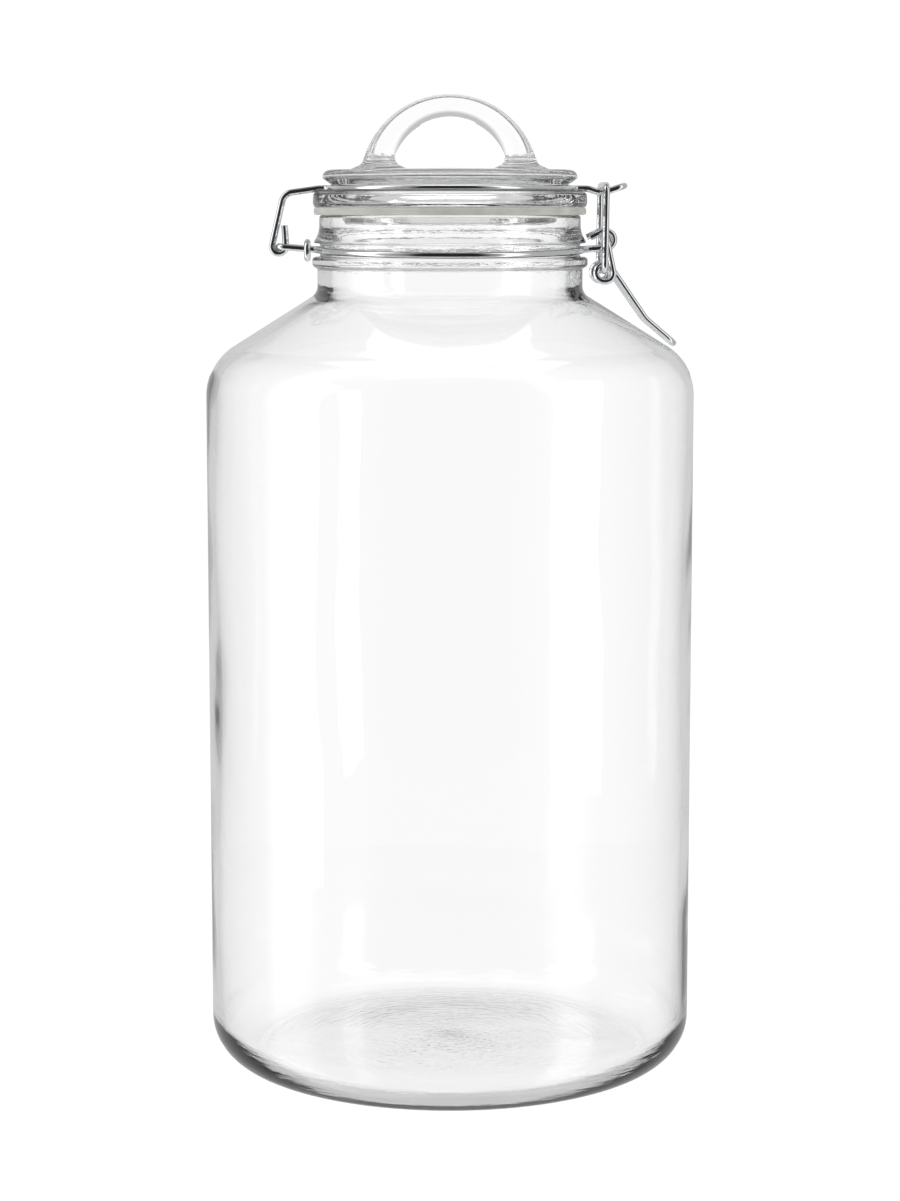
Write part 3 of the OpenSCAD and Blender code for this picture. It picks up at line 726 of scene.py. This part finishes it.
def pale_rubber():
    """Pale rubber that lets a little light in: cloudy in tone and shine, with a fine grain."""
    rubber, tree, skin = new_material("pale_rubber", {
        "Subsurface Weight": 0.5, "Subsurface Radius": (0.003, 0.0028, 0.0022), "Subsurface Scale": 1.0})
    link = tree.links.new
    place = add_node(tree, "TexCoord").outputs["Object"]
    clouds = add_node(tree, "TexNoise", {"Scale": 120.0, "Detail": 6.0})
    link(place, clouds.inputs["Vector"])
    tone = ramp_through(tree, [(0.3, (0.34, 0.35, 0.32, 1)), (0.7, (0.46, 0.47, 0.43, 1))])
    link(clouds.outputs["Fac"], tone.inputs["Fac"])
    link(tone.outputs["Color"], skin.inputs["Base Color"])
    dust = add_node(tree, "MapRange", {"To Min": 0.38, "To Max": 0.6})
    link(clouds.outputs["Fac"], dust.inputs["Value"])
    link(dust.outputs["Result"], skin.inputs["Roughness"])
    grain = add_node(tree, "Bump", {"Strength": 0.3, "Distance": 0.00005})
    link(clouds.outputs["Fac"], grain.inputs["Height"])
    link(grain.outputs["Normal"], skin.inputs["Normal"])
    return rubber


gasket = turned("rubber_ring", divided(rounded([
    (GASKET_IN_R, GASKET_MIDDLE_Z, 0), (GASKET_IN_R, JAR_H, 0.6), (GASKET_R, JAR_H, 0.8),
    (GASKET_R, SEAT_Z, 0.8), (GASKET_IN_R, SEAT_Z, 0.6),
    (GASKET_IN_R, GASKET_MIDDLE_Z + 0.2, 0)]), 2.0), 160)
gasket.data.materials.append(pale_rubber())
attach(gasket, "lid_body")
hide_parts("gasket")

# ---- Lid wire -----------------------------------------------------------------------------------
# The wire in the lid's groove: at the back its two ends hook round the hinge loop's bar, and at the
# front it runs out into a tab for the bail.
LID_WIRE_R = LID_GROOVE_R + WIRE_GAP + WIRE_R
LID_WIRE_Z = SKIRT_Z + LID_GROOVE_H / 2
HOOK_Y = 5.0
HOOK_R = BESIDE - WIRE_GAP / 4
TAB_Y = 3.2
TAB_NEAR_X = SKIRT_R + 0.5
TAB_LOW_X = EYE_X - 1
TAB_X = EYE_X + 7
TAB_DIP = 1.6
TAB_RISE = 1.0
TAB_BEND_R = 7.0
lid_wire_half = (
    [(HINGE_X + HOOK_R - 0.4, -HOOK_Y, HINGE_Z + 7.2, 0)]
    + arc_xz(HINGE_X, HINGE_Z, HOOK_R, 5.6, -194.3, -HOOK_Y, -HOOK_Y)
    + [(HINGE_X + 1.8, -HOOK_Y, LID_WIRE_Z - 1.7, 4), (2 - SKIRT_R, -HOOK_Y, LID_WIRE_Z, 0),
       (-leg_x(LID_WIRE_R, HOOK_Y), -HOOK_Y, LID_WIRE_Z, TIGHT_R)]
    + arc_xy(LID_WIRE_R, LID_WIRE_Z, leg_angle(LID_WIRE_R, HOOK_Y) - math.pi,
             -leg_angle(LID_WIRE_R, TAB_Y), 0)
    + [(leg_x(LID_WIRE_R, TAB_Y), -TAB_Y, LID_WIRE_Z, TIGHT_R), (TAB_NEAR_X, -TAB_Y, LID_WIRE_Z, 0),
       (TAB_LOW_X, -TAB_Y, LID_WIRE_Z - TAB_DIP, TAB_BEND_R),
       (TAB_X, -TAB_Y, LID_WIRE_Z + TAB_RISE, TAB_Y - SNUG)])
lid_wire = drawn_wire("lid_wire", both_halves(lid_wire_half))
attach(lid_wire, "lid_body")
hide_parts("lid_ring")

# ---- Lever --------------------------------------------------------------------------------------
# The over-centre lever, one wire: its ends turn in the neck wire's eyes, a loop in each arm carries the
# bail, and the arms close to a narrow tip for the thumb.
LEVER_Y = EYE_Y + BESIDE + WIRE_GAP / 2
ARM_Y = EYE_Y - WIRE_GAP / 2
ARM_LOOP_X = EYE_X - 0.4
ARM_LOOP_Z = PIVOT_Z - 12.1
LEVER_REACH = 24.5
TIP_Y = 4.2
tip_x = EYE_X + LEVER_REACH
tip_z = shoulder_at(tip_x) + (WIRE_R + 1) * math.sqrt(1 + SHOULDER_SLOPE ** 2)
lever_half = (
    [(EYE_X, WIRE_D - EYE_Y, PIVOT_Z, 0), (EYE_X, -LEVER_Y, PIVOT_Z, TIGHT_R)]
    + arc_xz(ARM_LOOP_X, ARM_LOOP_Z, EYE_R, 12.2, -326.3, -LEVER_Y, -ARM_Y)
    + [(EYE_X + 0.585 * LEVER_REACH, -(ARM_Y + TIP_Y) / 2, tip_z + 0.35 * LEVER_REACH, 8),
       (tip_x, -TIP_Y, tip_z, 3.5)])
lever = drawn_wire("lever_wire", both_halves(lever_half))
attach(lever, "latch_lever")
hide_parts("lever")

# ---- Bail ---------------------------------------------------------------------------------------
# The bail hangs in the lever's loops by its two turned-in ends, and its bar pulls down on the lid
# wire's tab.
BAIL_X = ARM_LOOP_X - 0.2
BAIL_Z = ARM_LOOP_Z + (EYE_IN_R - WIRE_R) - WIRE_GAP / 2
BAIL_Y = LEVER_Y + BESIDE
TAB_SLOPE = (math.atan(TAB_DIP / (TAB_LOW_X - TAB_NEAR_X))
             + math.atan((TAB_DIP + TAB_RISE) / (TAB_X - TAB_LOW_X))) / 2
BAR_Z = LID_WIRE_Z - TAB_DIP + TAB_BEND_R * (1 / math.cos(TAB_SLOPE) - 1) + WIRE_D + 0.75 * WIRE_GAP
bail = drawn_wire("bail_wire", both_halves([
    (BAIL_X, WIRE_D - ARM_Y, BAIL_Z, 0), (BAIL_X, -BAIL_Y, BAIL_Z, TIGHT_R),
    (EYE_X - 0.2, -BAIL_Y, BAR_Z, 2.8)]))
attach(bail, "latch_link")
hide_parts("bail_link")
